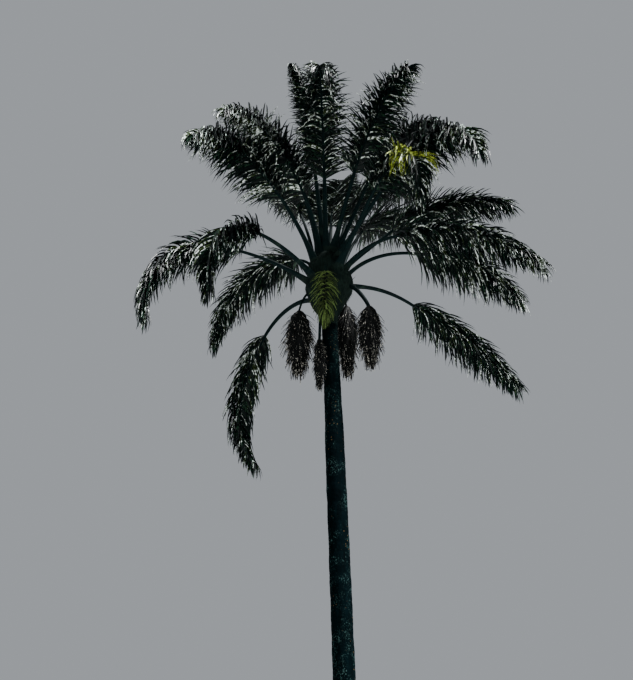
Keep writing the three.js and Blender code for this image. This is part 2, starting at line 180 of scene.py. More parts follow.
class FrondSettings(bpy.types.PropertyGroup):
    """The ribs' and leaflets' sizes and colours."""

    leaflets: count_setting("Leaflets", "Leaflets on each frond", 860, 20)
    start_length: length_setting("First length", "Length of the first leaflets", 0.58)
    full_length: length_setting("Full length", "Length of the longest leaflets", 0.66)
    end_length: length_setting("Last length", "Length of the last leaflets", 0.40)
    width: length_setting("Width", "A leaflet's width", 0.027)
    forward: angle_setting("Forward angle", "Angle between leaflet and rib", 50)
    roll: angle_setting("Roll", "How far a leaflet turns about its own length, at most", 26)
    jitter: angle_setting("Unevenness", "How far a leaflet strays from its place", 5)
    sag: share_setting("Sag", "Fall of a level leaflet's end, as a share of its length", 0.58)
    shorter: share_setting("Shorter", "How much shorter every second group of leaflets is", 0.42)
    narrower: share_setting("Narrower", "How much narrower the light leaflets are", 0.5)
    mid_share: share_setting("Mid share", "Share of leaflets that aren't the darkest", 0.45)
    glint_share: share_setting("Glint share", "Share of leaflets that are light", 0.19)
    seed: count_setting("Seed", "Seed of what is uneven on the fronds and the heart", 3, 0)
    # The dark, mid, rib and leaf base colours are near black, darker than the leaves' own green: painted
    # shade of a crown lit from behind.
    dark: colour_setting("Dark leaflet", "Colour of most leaflets", (0.0010, 0.0042, 0.0040))
    mid: colour_setting("Mid leaflet", "Colour of the lighter leaflets", (0.0090, 0.0270, 0.0150))
    # The light leaflets' spots are painted sun glints, set on the olive colour.
    light: colour_setting("Light leaflet", "Colour of the waxy leaflets' spots", (0.70, 0.88, 0.74))
    olive: colour_setting("Olive leaflet", "Colour between the waxy spots", (0.030, 0.050, 0.015))
    # The yellow-green leaflets are a painted glow of sunlight shining through them.
    pale: colour_setting("Pale leaflet", "Colour of the yellow-green leaflets", (0.36, 0.44, 0.050))
    stalk: colour_setting("Stalk", "Colour of the ribs", (0.0010, 0.0038, 0.0040))
    sheath: colour_setting("Sheath", "Colour of the leaf bases", (0.0070, 0.0150, 0.0120))


class ClusterSettings(bpy.types.PropertyGroup):
    """The hanging clusters' strands and colours."""

    strands: count_setting("Strands", "Strands in each dark cluster", 800, 10)
    flower_strands: count_setting("Flower strands", "Strands in the fresh cluster", 120, 10)
    seed: count_setting("Seed", "Seed of what is uneven on the clusters", 800, 0)
    # The flower and fruit strands' colours are darker than the clusters' own: painted shade of clusters lit
    # from behind.
    flower: colour_setting("Flower strand", "Colour of the fresh strands", (0.027, 0.043, 0.011))
    fruit: colour_setting("Fruit strand", "Colour of the dark strands", (0.0015, 0.0022, 0.0022))
    # The pale strands' spots are painted sun glints.
    glint_spots: colour_setting("Pale strand", "Colour of the pale strands' spots", (0.46, 0.45, 0.40))


class StageSettings(bpy.types.PropertyGroup):
    """Camera, floor and light."""

    eye: FloatVectorProperty(
        name="Eye", description="Where the camera stands", default=(-0.45, -12.4, 1.6), subtype="XYZ")
    tilt: angle_setting("Tilt", "How far the camera looks up", 35)
    lens: FloatProperty(
        name="Lens", description="Focal length in millimetres on the long side", default=47.65)
    key: FloatProperty(name="Key light", description="Strength of the high main light", default=17.0)
    softness: angle_setting("Softness", "How wide the main light is in the sky", 6)
    surround: FloatProperty(
        name="Surround", description="Strength of the light from all round", default=0.40)
    sky: colour_setting("Sky", "Colour of the light from all round", (0.86, 0.91, 0.97))
    floor: colour_setting("Floor", "Colour of the floor", (0.42, 0.42, 0.41))


# Places and courses.

def axis_x(z):
    """Sideways place of the trunk's leaning axis at a height."""
    return LEAN_OFFSET * (np.maximum(z, 0) / LEAN_HEIGHT) ** LEAN_POWER


def outline_radius(outline, z):
    """Radius of an outline at a height."""
    heights, radii = zip(*outline)
    return np.interp(z, heights, radii)


def direction(facing, slope):
    """Unit vectors for facings and slopes in radians."""
    level = np.cos(slope)
    return np.stack([level * np.cos(facing), level * np.sin(facing), np.sin(slope)], -1)


def foot_height(number):
    """Height of a frond's foot on the heart."""
    climb = (number / (len(FRONDS) - 1)) ** FOOT_POWER
    return LOWEST_FOOT + (HIGHEST_FOOT - LOWEST_FOOT) * climb


class Course:
    """The way of a frond's rib: its share, place, heading, side and radius at each station."""

    def __init__(self, number, stations):
        self.frond = FRONDS[number]
        foot_z = foot_height(number)
        reach = outline_radius(HEART_OUTLINE, foot_z) - FOOT_SUNK
        self.share = np.linspace(0, 1, stations)
        middle = (self.share[1:] + self.share[:-1]) / 2
        steps = direction(self.facing(middle), self.slope(middle))
        angle = math.radians(self.frond.facing)
        foot = np.array([axis_x(foot_z) + reach * math.cos(angle), reach * math.sin(angle), foot_z])
        walked = np.cumsum(steps * self.frond.length / (stations - 1), axis=0)
        self.place = np.concatenate([[foot], foot + walked])
        turned = self.facing(self.share)
        self.heading = direction(turned, self.slope(self.share))
        self.side = np.stack([np.sin(turned), -np.cos(turned), np.zeros(stations)], -1)
        self.up = np.cross(self.side, self.heading)
        bare, self.leafy = self.stretches(self.share)
        self.radius = (FOOT_RADIUS + (LEAF_RADIUS - FOOT_RADIUS) * bare
                       + (END_RADIUS - LEAF_RADIUS) * self.leafy)

    def facing(self, share):
        """Facing in radians at a share."""
        return np.radians(self.frond.facing + self.frond.swing * share ** 2)

    def stretches(self, share):
        """How much of the bare stretch and of the leafy stretch lies behind a share."""
        bare = self.frond.bare
        return np.minimum(share / bare, 1), np.maximum((share - bare) / (1 - bare), 0)

    def slope(self, share):
        """Slope in radians at a share."""
        bare, leafy = self.stretches(share)
        frond = self.frond
        return np.radians(frond.rise + (frond.begin - frond.rise) * bare + (frond.end - frond.begin) * leafy)


def stalk_places(cluster):
    """Points down a cluster's stalk, from inside the heart over its crest and down inside its strands."""
    steps, hidden_crest, hidden_end = 8, 0.3, 0.72
    angle = math.radians(cluster.facing)
    fall = cluster.low - cluster.top
    start = outline_radius(HEART_OUTLINE, cluster.foot) - FOOT_SUNK
    knots = np.array([
        (start, cluster.foot), ((start + cluster.reach) / 2, cluster.crest),
        (cluster.reach, cluster.top), (cluster.reach, cluster.top + fall * hidden_crest),
    ])
    ends = np.concatenate([[2 * knots[0] - knots[1]], knots, [2 * knots[-1] - knots[-2]]])
    points = []
    for i in range(len(knots) - 1):
        a, b, c, d = ends[i:i + 4]
        for t in np.linspace(0, 1, steps, endpoint=False):
            points.append(0.5 * (2 * b + (c - a) * t + (2 * a - 5 * b + 4 * c - d) * t ** 2
                                 + (3 * b - a - 3 * c + d) * t ** 3))
    points.append(knots[-1])
    points.append(np.array([cluster.reach, cluster.top + fall * hidden_end]))
    away, z = np.array(points).T
    return np.stack([axis_x(cluster.foot) + away * math.cos(angle), away * math.sin(angle), z], -1)


# Meshes.

def put(name, data):
    """A new object of a mesh, a lamp or a camera, in the scene."""
    piece = bpy.data.objects.new(name, data)
    bpy.context.scene.collection.objects.link(piece)
    return piece


def new_object(name, vertices, faces, materials=(), slots=None):
    """A smooth mesh object at the origin, with its materials."""
    mesh = bpy.data.meshes.new(name)
    mesh.from_pydata([tuple(v) for v in vertices], [], faces)
    for material in materials:
        mesh.materials.append(material)
    if slots is not None:
        mesh.polygons.foreach_set("material_index", slots)
    mesh.polygons.foreach_set("use_smooth", [True] * len(mesh.polygons))
    mesh.update()
    return put(name, mesh)


def ring_angles(around):
    """The angles of the points round a ring."""
    return np.linspace(0, 2 * math.pi, around, endpoint=False)


def ring_faces(rings, around, start=0):
    """Faces of a tube whose rings follow each other, with its two ends closed."""
    faces = []
    for i in range(rings - 1):
        low, high = start + i * around, start + (i + 1) * around
        for j in range(around):
            k = (j + 1) % around
            faces.append((low + j, low + k, high + k, high + j))
    faces.append(tuple(start + j for j in reversed(range(around))))
    faces.append(tuple(start + (rings - 1) * around + j for j in range(around)))
    return faces


def tube_rings(place, side, up, half_width, half_height, around):
    """Vertices of the rings of a tube that is flattened across its side and up directions."""
    turn = ring_angles(around)
    across = np.cos(turn)[None, :, None] * side[:, None, :] * half_width[:, None, None]
    over = np.sin(turn)[None, :, None] * up[:, None, :] * half_height[:, None, None]
    return (place[:, None, :] + across + over).reshape(-1, 3)


def line_frames(place):
    """Side and up directions along a line of points, turned from a direction that no line takes."""
    heading = np.gradient(place, axis=0)
    heading /= np.linalg.norm(heading, axis=1)[:, None]
    side = np.cross(heading, np.array([0.12, 0.31, 0.94]))
    side /= np.linalg.norm(side, axis=1)[:, None]
    return side, np.cross(side, heading)


# Nodes, of materials and of geometry alike.

def sign(operation):
    """A sign between a field and a field or a number, such as plus."""
    return lambda self, other: self.plant.combine(operation, self, other)


class Field:
    """A value in a node tree, so that sums of sockets read as sums."""

    __add__, __sub__, __mul__ = sign("ADD"), sign("SUBTRACT"), sign("MULTIPLY")
    __truediv__, __pow__, __mod__ = sign("DIVIDE"), sign("POWER"), sign("FLOORED_MODULO")

    def __init__(self, plant, socket, vector=False):
        self.plant = plant
        self.socket = socket
        self.vector = vector


class Wiring:
    """Adds nodes to a tree and joins them."""

    def feed(self, value, socket):
        """A field, a socket or a plain value into a socket."""
        if isinstance(value, Field):
            value = value.socket
        if isinstance(value, bpy.types.NodeSocket):
            self.tree.links.new(value, socket)
        else:
            socket.default_value = value

    def add(self, kind, settings=None, **inputs):
        """One node, with its settings and its inputs by name."""
        node = self.tree.nodes.new(kind)
        for key, value in (settings or {}).items():
            setattr(node, key, value)
        for key, value in inputs.items():
            self.feed(value, node.inputs[key.replace("_", " ")])
        return node

    def operate(self, kind, operation, *values):
        """The result of one Math or Vector Math node."""
        node = self.add(kind, {"operation": operation})
        for value, socket in zip(values, node.inputs):
            self.feed(value, socket)
        return node.outputs[0]


# Materials.

def scaled(colour, times):
    """A colour made lighter or darker."""
    return [min(c * times, 1) for c in colour]


class Shader(Wiring):
    """A node material with a Principled surface, whose nodes are added one by one."""

    def __init__(self, name, roughness, **constants):
        self.material = bpy.data.materials.new(name)
        self.material.use_nodes = True
        self.tree = self.material.node_tree
        self.surface = self.tree.nodes["Principled BSDF"]
        self.surface.inputs["Roughness"].default_value = roughness
        for socket, number in constants.items():
            self.surface.inputs[socket.replace("_", " ")].default_value = number
        self.place = self.tree.nodes.new("ShaderNodeTexCoord").outputs["Object"]

    def stretched(self, stretch):
        """Object coordinates multiplied by three numbers."""
        return self.add("ShaderNodeMapping", Vector=self.place, Scale=stretch).outputs[0]

    def noise(self, scale, stretch=(1, 1, 1), detail=4, roughness=0.6):
        """The value of a noise."""
        return self.add("ShaderNodeTexNoise", Vector=self.stretched(stretch), Scale=scale, Detail=detail,
                        Roughness=roughness).outputs["Fac"]

    def cells(self, scale, stretch):
        """The distance to the nearest of many scattered points."""
        return self.add("ShaderNodeTexVoronoi", Vector=self.stretched(stretch),
                        Scale=scale).outputs["Distance"]

    def between(self, value, low, high):
        """A value drawn out so that low becomes 0 and high becomes 1."""
        return self.add("ShaderNodeMapRange", Value=value, From_Min=low, From_Max=high).outputs["Result"]

    def product(self, first, second):
        """Two values multiplied."""
        return self.operate("ShaderNodeMath", "MULTIPLY", first, second)

    def mix(self, share, first, second):
        """Two colours mixed by a share."""
        node = self.add("ShaderNodeMix", {"data_type": "RGBA"})
        self.feed(share, node.inputs[0])
        for value, socket in ((first, node.inputs[6]), (second, node.inputs[7])):
            self.feed(value if isinstance(value, bpy.types.NodeSocket) else (*value, 1), socket)
        return node.outputs[2]

    def bump(self, height, distance, strength):
        """Relief on the surface."""
        node = self.add("ShaderNodeBump", Height=height, Distance=distance, Strength=strength)
        self.feed(node.outputs[0], self.surface.inputs["Normal"])

    def colour(self, value):
        """The surface's base colour."""
        self.feed(value, self.surface.inputs["Base Color"])


def bark_material(look):
    """Dark grey-green bark with fissures, pale lichen specks and tan dots."""
    shader = Shader("palm_bark", roughness=0.9, Specular_IOR_Level=0.01)
    broad = shader.noise(3.0, stretch=(1, 1, 0.6))
    fissures = shader.noise(14.0, stretch=(1, 1, 0.22), detail=8, roughness=0.7)
    grain = shader.noise(60.0, stretch=(1, 1, 0.4), detail=6)
    colour = shader.mix(shader.between(fissures, 0.36, 0.66), look.bark_dark, look.bark_light)
    weathered = shader.mix(0.5, colour, look.bark_light)
    colour = shader.mix(shader.between(broad, 0.38, 0.72), colour, weathered)
    patches = shader.between(shader.noise(5.0, stretch=(1, 1, 0.8), detail=5), 0.47, 0.62)
    specks = shader.between(shader.noise(46.0, stretch=(1, 1, 0.75), detail=7, roughness=0.75), 0.54, 0.63)
    colour = shader.mix(shader.product(specks, patches), colour, look.lichen)
    dots = shader.between(shader.cells(24.0, stretch=(1, 1, 0.7)), 0.16, 0.08)
    colour = shader.mix(shader.product(dots, shader.between(broad, 0.5, 0.56)), colour, look.tan)
    shader.colour(colour)
    shader.bump(shader.mix(0.45, fissures, grain), distance=0.008, strength=0.9)
    return shader.material


def sheath_material(look):
    """Dark green fibrous leaf bases."""
    shader = Shader("leaf_base_fibre", roughness=0.85, Specular_IOR_Level=0.04)
    strands = shader.noise(55.0, stretch=(1, 1, 0.06), detail=5)
    patches = shader.noise(6.0, detail=3)
    colour = shader.mix(shader.between(strands, 0.38, 0.62), scaled(look.sheath, 0.3), look.sheath)
    colour = shader.mix(shader.between(patches, 0.45, 0.6), colour, shader.mix(0.35, colour, look.stalk))
    shader.colour(colour)
    shader.bump(strands, distance=0.006, strength=0.8)
    return shader.material


def stalk_material(look):
    """Smooth dark green ribs with faint streaks and blotches."""
    shader = Shader("frond_stalk", roughness=0.6, Specular_IOR_Level=0.02)
    streaks = shader.noise(30.0, detail=5)
    blotches = shader.noise(5.0, detail=4)
    colour = shader.mix(shader.between(streaks, 0.35, 0.7), look.stalk, scaled(look.stalk, 2.1))
    colour = shader.mix(shader.between(blotches, 0.56, 0.68), colour, look.sheath)
    shader.colour(colour)
    shader.bump(streaks, distance=0.002, strength=0.5)
    return shader.material


def leaf_material(name, colour, roughness, rest=None):
    """A glossy leaflet in one plain colour that varies a little, or whose light spots stand on the rest; on
    the light leaflets these spots are painted sun glints.
    """
    shader = Shader(name, roughness=roughness, Specular_IOR_Level=0.15)
    scale, low, high = (2.2, 0.35, 0.65) if rest is None else (15.0, 0.49, 0.57)
    darker = scaled(colour, 0.72) if rest is None else rest
    shade = shader.between(shader.noise(scale, detail=3), low, high)
    shader.colour(shader.mix(shade, darker, scaled(colour, 1.3)))
    return shader.material


def strand_material(name, colour, rest=None):
    """Matte strands of a cluster, whose light spots may stand on the colour of the rest; on the pale strands
    these spots are painted sun glints.
    """
    shader = Shader(name, roughness=0.7, Specular_IOR_Level=0.1)
    low, high = (0.35, 0.65) if rest is None else (0.57, 0.62)
    darker = scaled(colour, 0.55) if rest is None else rest
    shade = shader.noise(48.0)
    shader.colour(shader.mix(shader.between(shade, low, high), darker, scaled(colour, 1.5)))
    shader.bump(shade, distance=0.003, strength=0.6)
    return shader.material


# Geometry Nodes.

class NodePlant(Wiring):
    """A Geometry Nodes tree with named inputs, written as sums of fields."""

    def __init__(self, name):
        self.tree = bpy.data.node_groups.new(name, "GeometryNodeTree")
        self.tree.interface.new_socket("Geometry", in_out="OUTPUT", socket_type="NodeSocketGeometry")
        self.entry = self.tree.nodes.new("NodeGroupInput")
        self.exit = self.tree.nodes.new("NodeGroupOutput")

    def entrances(self, kind, *names):
        """Named inputs of the tree, all of one kind."""
        for name in names:
            self.tree.interface.new_socket(name, in_out="INPUT", socket_type=f"NodeSocket{kind}")
        return [Field(self, self.entry.outputs[name]) for name in names]

    def math(self, operation, *values):
        """One step of a sum on numbers."""
        return Field(self, self.operate("ShaderNodeMath", operation, *values))

    def combine(self, operation, first, second):
        """One step of a sum, on numbers or on vectors."""
        vectors = [value for value in (first, second) if isinstance(value, Field) and value.vector]
        if not vectors:
            return self.math(operation, first, second)
        if operation == "MULTIPLY" and len(vectors) == 1:
            number = second if first is vectors[0] else first
            node = self.add("ShaderNodeVectorMath", {"operation": "SCALE"}, Vector=vectors[0], Scale=number)
            return Field(self, node.outputs[0], vector=True)
        return Field(self, self.operate("ShaderNodeVectorMath", operation, first, second), vector=True)

    def cross(self, first, second):
        """The cross product of two vectors."""
        return Field(self, self.operate("ShaderNodeVectorMath", "CROSS_PRODUCT", first, second), vector=True)

    def attribute(self, name, vector=False):
        """A named attribute."""
        kind = "FLOAT_VECTOR" if vector else "FLOAT"
        node = self.add("GeometryNodeInputNamedAttribute", {"data_type": kind}, Name=name)
        return Field(self, node.outputs["Attribute"], vector)

    def chance(self, low, high, seed, salt):
        """An even random number for each point. Each use has a salt of its own."""
        node = self.add("FunctionNodeRandomValue", {"data_type": "FLOAT"}, Seed=seed + salt)
        self.feed(low, node.inputs[2])
        self.feed(high, node.inputs[3])
        return Field(self, node.outputs[1])

    def vector(self, x, y, z):
        """A vector of three numbers."""
        return Field(self, self.add("ShaderNodeCombineXYZ", X=x, Y=y, Z=z).outputs[0], vector=True)

    def above(self, value, limit):
        """Whether a value is above a limit."""
        settings = {"data_type": "FLOAT", "operation": "GREATER_THAN"}
        return Field(self, self.add("FunctionNodeCompare", settings, A=value, B=limit).outputs[0])

    def turn(self, main, second):
        """The turn that points a shape's length along one direction and its height towards another."""
        axes = {"primary_axis": "X", "secondary_axis": "Z"}
        return self.add("FunctionNodeAxesToRotation", axes, Primary_Axis=main,
                        Secondary_Axis=second).outputs[0]

    def strew(self, points, shape, turn, size):
        """A shape placed on every point, as a mesh of its own."""
        shape = self.add("GeometryNodeObjectInfo", Object=shape).outputs["Geometry"]
        placed = self.add("GeometryNodeInstanceOnPoints", Points=points, Instance=shape, Rotation=turn,
                          Scale=size).outputs[0]
        return self.add("GeometryNodeRealizeInstances", Geometry=placed).outputs[0]

    def coat(self, mesh, **inputs):
        """A mesh with its material set."""
        return self.add("GeometryNodeSetMaterial", Geometry=mesh, **inputs).outputs[0]


# A leaflet's or strand's chances, each from the least to the most: its length, its end's fall and its width.
LENGTH_CHANCE, FALL_CHANCE, WIDTH_CHANCE = (0.85, 1.05), (0.75, 1.25), (0.65, 1.2)
# Along a line they grow longer and shorter again in half a wave, which ends before the line does and whose
# crest is early.
WAVE_PACE, WAVE_POWER = 1.15, 0.8
# They close up by a power of their share. An upright one still falls, by the root of LEAST_LEVEL of what a
# level one does.
CLOSING_POWER, LEAST_LEVEL = 3.0, 0.02


def spray_tree():
    """Leaflets or strands in pairs along lines that carry their share, heading and side at each point."""
    plant = NodePlant("sprays_along_a_rib")
    lines, = plant.entrances("Geometry", "Lines")
    blade, = plant.entrances("Object", "Blade")
    count, planes, seed = plant.entrances("Int", "Count", "Planes", "Seed")
    first, full, last, width = plant.entrances("Float", "First length", "Full length", "Last length", "Width")
    forward, closing, lowest, step = plant.entrances(
        "Float", "Forward angle", "Closing at the end", "Lowest slope", "Slope step")
    sag, jitter, roll, shorter, narrower = plant.entrances(
        "Float", "Sag", "Unevenness", "Roll", "Shorter", "Glint ones narrower")
    mid_share, glint_share = plant.entrances("Float", "Mid share", "Glint share")
    dark, mid, light, pale = plant.entrances(
        "Material", "Dark material", "Mid material", "Glint material", "Painted sunlight material")

    # Where each one grows, and the way that it points: its hand and its plane follow from its number.
    curves = plant.add("GeometryNodeMeshToCurve", Mesh=lines).outputs["Curve"]
    points = plant.add("GeometryNodeCurveToPoints", {"mode": "COUNT"}, Curve=curves, Count=count).outputs[0]
    share = plant.attribute("share")
    heading = plant.attribute("heading", vector=True)
    side = plant.attribute("side", vector=True)
    index = Field(plant, plant.add("GeometryNodeInputIndex").outputs[0])
    hand = (index % 2.0) * 2.0 - 1.0
    pair = plant.math("FLOOR", index / 2.0)
    slope = lowest + step * (pair % planes) + plant.chance(-1.0, 1.0, seed, 1) * jitter
    up = plant.cross(side, heading)
    out = side * (hand * plant.math("COSINE", slope)) + up * plant.math("SINE", slope)
    lean = forward - closing * share ** CLOSING_POWER + plant.chance(-1.0, 1.0, seed, 2) * jitter
    aim = heading * plant.math("COSINE", lean) + out * plant.math("SINE", lean)

    # Its length, and how far its end falls: most where it points out level.
    swell = plant.math("SINE", plant.math("MINIMUM", share * WAVE_PACE, 1.0) ** WAVE_POWER * math.pi)
    ends = first + (last - first) * share
    short = (plant.math("FLOOR", pair / planes) % 2.0) * shorter
    size = plant.attribute("plume") * (plant.chance(*LENGTH_CHANCE, seed, 3) - short)
    length = (ends + (full - ends) * swell) * size
    rise = Field(plant, plant.add("ShaderNodeSeparateXYZ", Vector=aim).outputs["Z"])
    level = plant.math("MAXIMUM", plant.math("SUBTRACT", 1.0, rise ** 2.0), LEAST_LEVEL)
    fall = length * sag * plant.math("SQRT", level) * plant.chance(*FALL_CHANCE, seed, 4)
    tilt = plant.chance(-1.0, 1.0, seed, 5) * roll
    over = plant.vector(0.0, 0.0, 1.0) * plant.math("COSINE", tilt) + heading * plant.math("SINE", tilt)

    # Its colour is dealt out by a tint, which goes with it to its faces. A light one carries painted sun
    # glints and is narrower.
    kept = plant.add("GeometryNodeStoreNamedAttribute", {"data_type": "FLOAT", "domain": "POINT"},
                     Geometry=points, Name="tint", Value=plant.chance(0.0, 1.0, seed, 6)).outputs[0]
    tint = plant.attribute("tint")
    is_glint = plant.above(glint_share + plant.attribute("bright"), tint)
    thin = plant.math("SUBTRACT", 1.0, plant.math("MULTIPLY", is_glint, narrower))
    across = width * plant.chance(*WIDTH_CHANCE, seed, 7) * thin
    grown = plant.strew(kept, blade, plant.turn(aim, over), plant.vector(length, across, fall))
    grown = plant.coat(grown, Material=dark)
    choices = (
        (plant.above(mid_share, tint), mid),
        (is_glint, light),
        (plant.above(plant.attribute("pale"), plant.math("SUBTRACT", 1.0, tint)), pale),
    )
    for chosen, material in choices:
        grown = plant.coat(grown, Selection=chosen, Material=material)
    for name in ("tint", "share", "heading", "side", "pale", "bright", "plume"):
        grown = plant.add("GeometryNodeRemoveAttribute", Geometry=grown, Name=name).outputs[0]
    plant.feed(grown, plant.exit.inputs["Geometry"])
    return plant.tree


def fibre_tree():
    """Short fibres scattered over a surface, pointing up and a little outwards."""
    # How far a fibre leans aside, up and out of the surface, its length, and its end's fall against that.
    aside, upward, outward, lengths, fallen = 0.5, 0.6, (0.1, 0.7), (0.05, 0.16), 0.5
    plant = NodePlant("fibres_on_leaf_bases")
    surface, = plant.entrances("Geometry", "Surface")
    fibre, = plant.entrances("Object", "Fibre")
    density, width = plant.entrances("Float", "Density", "Width")
    seed, = plant.entrances("Int", "Seed")
    material, = plant.entrances("Material", "Fibre material")
    spread = plant.add("GeometryNodeDistributePointsOnFaces", Mesh=surface, Density=density, Seed=seed)
    normal = Field(plant, spread.outputs["Normal"], vector=True)
    stray = plant.vector(plant.chance(-aside, aside, seed, 1), plant.chance(-aside, aside, seed, 2), upward)
    turn = plant.turn(normal * plant.chance(*outward, seed, 3) + stray, normal)
    length = plant.chance(*lengths, seed, 4)
    grown = plant.strew(spread.outputs["Points"], fibre, turn, plant.vector(length, width, length * fallen))
    plant.feed(plant.coat(grown, Material=material), plant.exit.inputs["Geometry"])
    return plant.tree


def run_tree(name, tree, base, values, smooth=True):
    """Runs a tree on a base object and keeps the result as a plain mesh object. The base object goes."""
    modifier = base.modifiers.new("growth", "NODES")
    modifier.node_group = tree
    sockets = {item.name: item.identifier for item in tree.interface.items_tree if item.in_out == "INPUT"}
    for key, value in values.items():
        modifier[sockets[key]] = value
    graph = bpy.context.evaluated_depsgraph_get()
    mesh = bpy.data.meshes.new_from_object(base.evaluated_get(graph), depsgraph=graph)
    base.modifiers.remove(modifier)
    mesh.name = name
    piece = put(name, mesh)
    drop(base)
    mesh.polygons.foreach_set("use_smooth", [smooth] * len(mesh.polygons))
    return piece


def drop(piece):
    """Removes a helper object and its mesh."""
    mesh = piece.data
    bpy.data.objects.remove(piece)
    bpy.data.meshes.remove(mesh)


def guide_lines(name, lines):
    """An edge line for each course, with what the sprays need to know at its points."""
    places = np.concatenate([line["place"] for line in lines])
    edges = []
    start = 0
    for line in lines:
        size = len(line["place"])
        edges += [(start + i, start + i + 1) for i in range(size - 1)]
        start += size
    mesh = bpy.data.meshes.new(name)
    mesh.from_pydata([tuple(p) for p in places], edges, [])
    for key in ("heading", "side"):
        values = np.concatenate([line[key] for line in lines])
        mesh.attributes.new(key, "FLOAT_VECTOR", "POINT").data.foreach_set("vector", values.ravel())
    for key in ("share", "pale", "bright", "plume"):
        values = np.concatenate([line[key] for line in lines])
        mesh.attributes.new(key, "FLOAT", "POINT").data.foreach_set("value", values)
    return put(name, mesh)


def blade_object(name, stations, fold, bow):
    """A blade one metre long and one wide that falls one metre, folded along its middle."""
    vertices, faces = [], []
    for along, half in stations:
        x = along * (1 - DRAWN_IN * along)
        z = -along ** bow
        if half > 0:
            vertices += [(x, -half, z + fold * half), (x, 0, z - fold * half), (x, half, z + fold * half)]
        else:
            vertices.append((x, 0, z))
    full = sum(1 for _, half in stations if half > 0)
    for i in range(full - 1):
        for j in range(2):
            a = 3 * i + j
            faces.append((a, a + 3, a + 4, a + 1))
    tip, last = 3 * full, 3 * (full - 1)
    faces += [(last, tip, last + 1), (last + 1, tip, last + 2)]
    return new_object(name, vertices, faces)


def strand_object(name, thickness):
    """A thin three-sided strand, one metre long and falling one metre, for scaling."""
    stations, sides, bow, taper = 7, 3, 1.8, 0.6
    along = np.linspace(0, 1, stations)
    place = np.stack([along * (1 - DRAWN_IN * along), np.zeros(stations), -along ** bow], -1)
    side = np.tile([0.0, 1.0, 0.0], (stations, 1))
    up = np.tile([0.0, 0.0, 1.0], (stations, 1))
    half = thickness * (1 - taper * along)
    rings = tube_rings(place, side, up, half, half, sides)
    return new_object(name, rings, ring_faces(stations, sides))


def settle(piece, slot, *nodes):
    """Puts a finished piece under the root body and hides the solids it stands for. Its slot, the finish, is
    not used.
    """
    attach(piece, "root")
    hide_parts(*nodes)


def frond_nodes(number):
    """The solids of one frond."""
    start = f"frond_{number + 1:02d}"
    return [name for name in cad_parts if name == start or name.startswith(start + "_")]


# One operator for each piece or group of like pieces.

class PALM_OT_trunk(bpy.types.Operator):
    """Makes the trunk, with leaf scars, lumps and a root flare"""

    bl_idname = "palm.trunk"
    bl_label = "Trunk"

    # How far the trunk goes on inside the heart, and how deep its grain is.
    hidden, grain_depth = 0.03, 0.0022
    # How fine its waves, lumps and grain are. The lumps come from another place in the noise than the waves.
    wave_scale, lump_scale, grain_scale, lump_place = 2.3, 4.2, 26, Vector((5, 0, 0))
    # How far a leaf scar waves and slants, against the spacing of two, and how sharp it is.
    wave_height, ring_slant, scar_power = 0.5, 0.08, 10
    # The root flare's height, its ribs, how far they stand out and how far they wander.
    flare_height, flare_ribs, flare_depth, flare_wander = 0.45, 7, 0.012, 2

    def execute(self, context):
        """Raises the bark's relief on the trunk's outline."""
        look = context.scene.palm_trunk
        vertices = []
        for z in np.linspace(0, TRUNK_OUTLINE[-1][0] + self.hidden, look.along):
            radius = float(outline_radius(TRUNK_OUTLINE, z))
            for angle in ring_angles(look.around):
                x, y = math.cos(angle), math.sin(angle)
                spot = Vector((x * radius, y * radius, z))
                wave = noise.noise(spot * self.wave_scale) * self.wave_height
                rings = z / look.ring_spacing + wave + self.ring_slant * x
                scar = abs(math.sin(math.pi * rings)) ** self.scar_power
                lumps = noise.noise(spot * self.lump_scale + self.lump_place)
                grain = noise.noise(spot * self.grain_scale)
                relief = look.ring_depth * (1 - scar) + look.lump_depth * lumps
                relief += self.grain_depth * grain
                ribs = self.flare_depth * math.cos(angle * self.flare_ribs + self.flare_wander * wave)
                reach = radius + relief + max(0.0, 1 - z / self.flare_height) ** 2 * ribs
                vertices.append((x * reach + float(axis_x(z)), y * reach, z))
        faces = ring_faces(look.along, look.around)
        piece = new_object("trunk_bark", vertices, faces, [bark_material(look)])
        settle(piece, "bark", "trunk")
        return {"FINISHED"}


